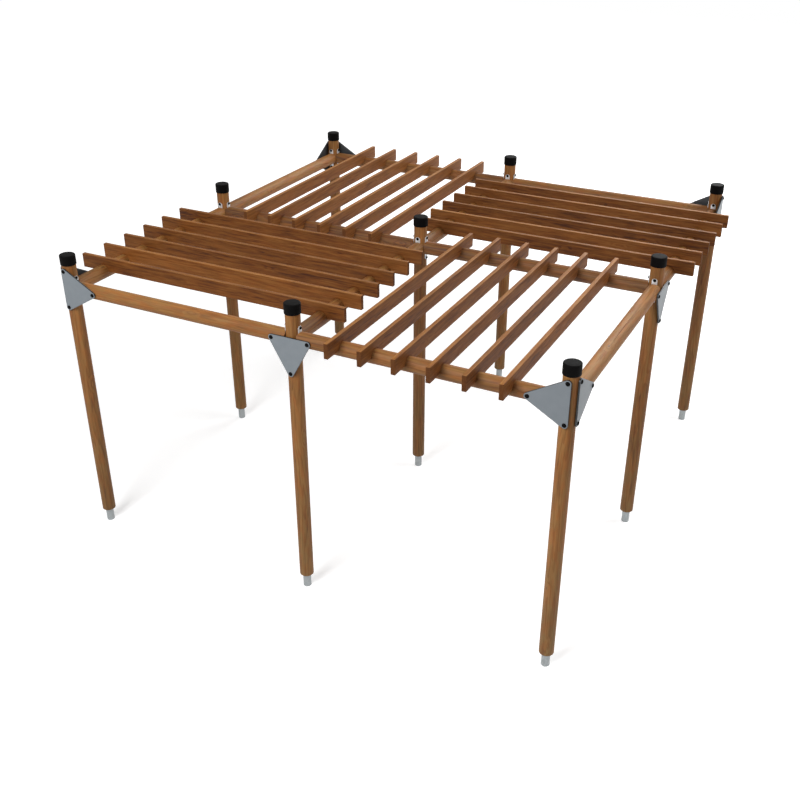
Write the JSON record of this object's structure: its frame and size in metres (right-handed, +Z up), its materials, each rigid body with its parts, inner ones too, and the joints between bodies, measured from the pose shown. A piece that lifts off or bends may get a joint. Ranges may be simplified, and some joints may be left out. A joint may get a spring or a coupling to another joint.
{
  "type": "wooden pergola",
  "caption": "Open square pergola of round wooden posts and beams with notched plank rafters, triangular gusset plates, capped post tops and steel feet.",
  "frame": {"origin": "on the ground, on the axis of the centre post, which is the middle of the footprint", "axes": "+Z up, +X along the front row from left to right, +Y from the front row to the back"},
  "size_m": [4.84, 4.84, 2.6713],
  "materials": {
    "post_wood": "brown stained round timber, lengthwise grain with knots, satin",
    "beam_wood": "brown stained round timber, lengthwise grain, satin",
    "rafter_wood": "brown stained sawn and planed planks, straight grain, satin",
    "gusset_laminate": "blue-grey compact laminate with a black core at its edges, fine matt texture",
    "galvanised_steel": "hot-dip galvanised, faint spangle, dull",
    "cap_plastic": "black moulded plastic, slightly rough"
  },
  "bodies": {
    "root": {"beam_back_row_left": "beam_wood", "beam_back_row_right": "beam_wood", "beam_centre_column_back": "beam_wood", "beam_centre_column_front": "beam_wood", "beam_front_row_left": "beam_wood", "beam_front_row_right": "beam_wood", "beam_left_column_back": "beam_wood", "beam_left_column_front": "beam_wood", "beam_middle_row_left": "beam_wood", "beam_middle_row_right": "beam_wood", "beam_right_column_back": "beam_wood", "beam_right_column_front": "beam_wood", "brackets_back_centre": "galvanised_steel", "brackets_back_left": "galvanised_steel", "brackets_back_right": "galvanised_steel", "brackets_front_centre": "galvanised_steel", "brackets_front_left": "galvanised_steel", "brackets_front_right": "galvanised_steel", "brackets_middle_centre": "galvanised_steel", "brackets_middle_left": "galvanised_steel", "brackets_middle_right": "galvanised_steel", "gusset_back_centre": "gusset_laminate", "gusset_front_centre": "gusset_laminate", "gusset_middle_left": "gusset_laminate", "gusset_middle_right": "gusset_laminate", "gussets_back_left": "gusset_laminate", "gussets_back_right": "gusset_laminate", "gussets_front_left": "gusset_laminate", "gussets_front_right": "gusset_laminate", "post_back_centre": "post_wood", "post_back_left": "post_wood", "post_back_right": "post_wood", "post_caps": "cap_plastic", "post_feet": "galvanised_steel", "post_front_centre": "post_wood", "post_front_left": "post_wood", "post_front_right": "post_wood", "post_middle_centre": "post_wood", "post_middle_left": "post_wood", "post_middle_right": "post_wood", "rafters_back_left": "rafter_wood", "rafters_back_right": "rafter_wood", "rafters_front_left": "rafter_wood", "rafters_front_right": "rafter_wood"}
  },
  "joints": []
}
